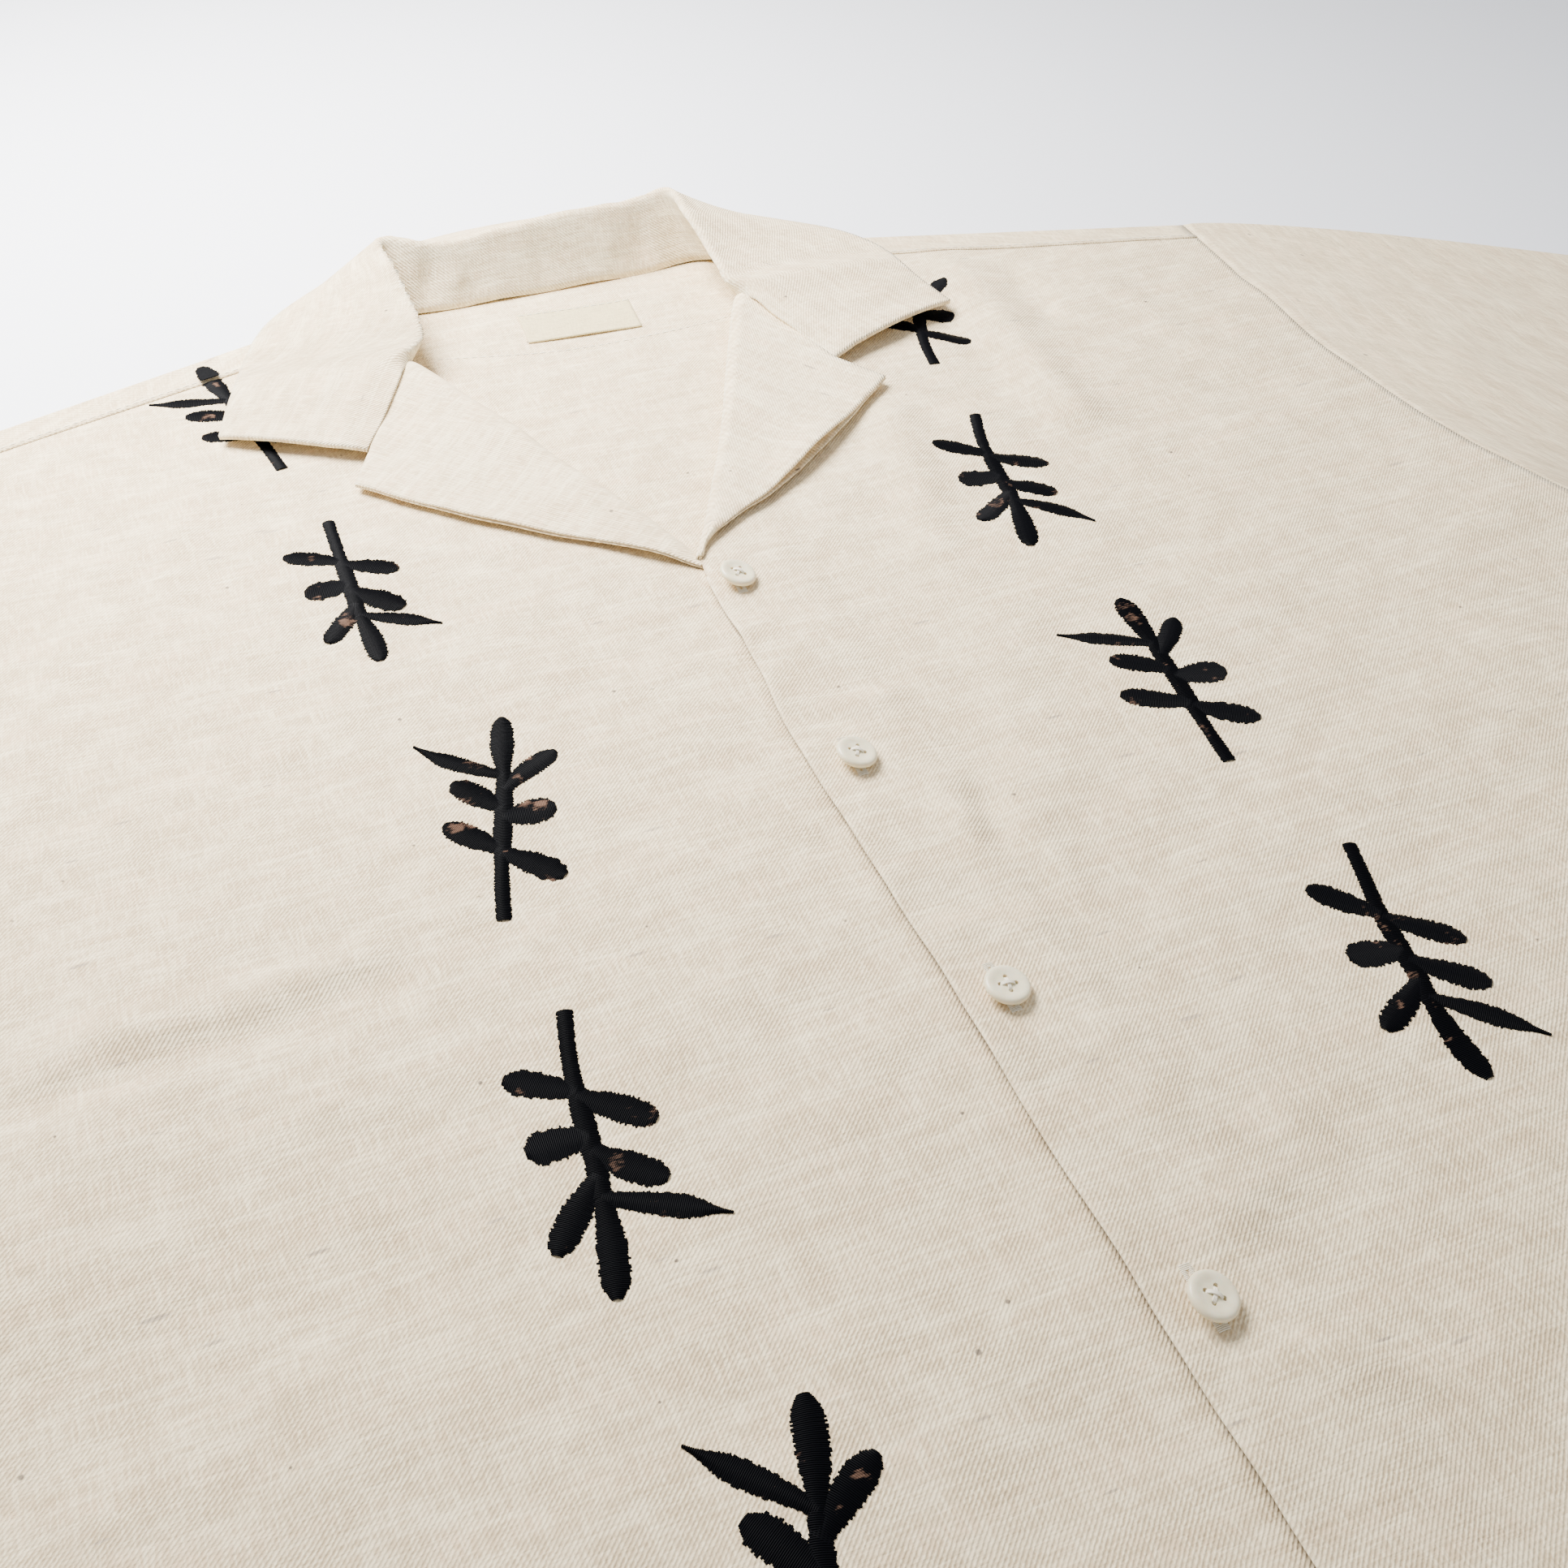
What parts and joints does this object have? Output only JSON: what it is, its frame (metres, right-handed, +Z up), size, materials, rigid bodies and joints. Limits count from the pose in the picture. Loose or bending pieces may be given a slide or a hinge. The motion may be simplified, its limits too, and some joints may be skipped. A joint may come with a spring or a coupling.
{
  "type": "casual shirt",
  "caption": "Natural-coloured short-sleeved camp-collar shirt with embroidered leaf sprigs, buttoned up and laid flat, front up.",
  "frame": {"origin": "centre of the box round the shirt, at the height of the surface that it lies on", "axes": "+Z up out of the surface; +Y from the hem to the collar; +X to the right as the shirt is seen from above, which is its wearer's left"},
  "size_m": [0.9166, 0.8, 0.0282],
  "materials": {
    "natural cloth": "matte",
    "natural cloth, facing": "matte",
    "label cloth": "matte",
    "ivory button": "gloss"
  },
  "bodies": {
    "root": {"back": "natural cloth", "front_right": "natural cloth", "front_left": "natural cloth", "sleeve_right": "natural cloth", "sleeve_left": "natural cloth", "collar": "natural cloth", "facing_right": "natural cloth, facing", "facing_left": "natural cloth, facing", "label": "label cloth", "button_1": "ivory button", "button_2": "ivory button", "button_3": "ivory button", "button_4": "ivory button", "button_5": "ivory button", "button_6": "ivory button"}
  },
  "joints": []
}
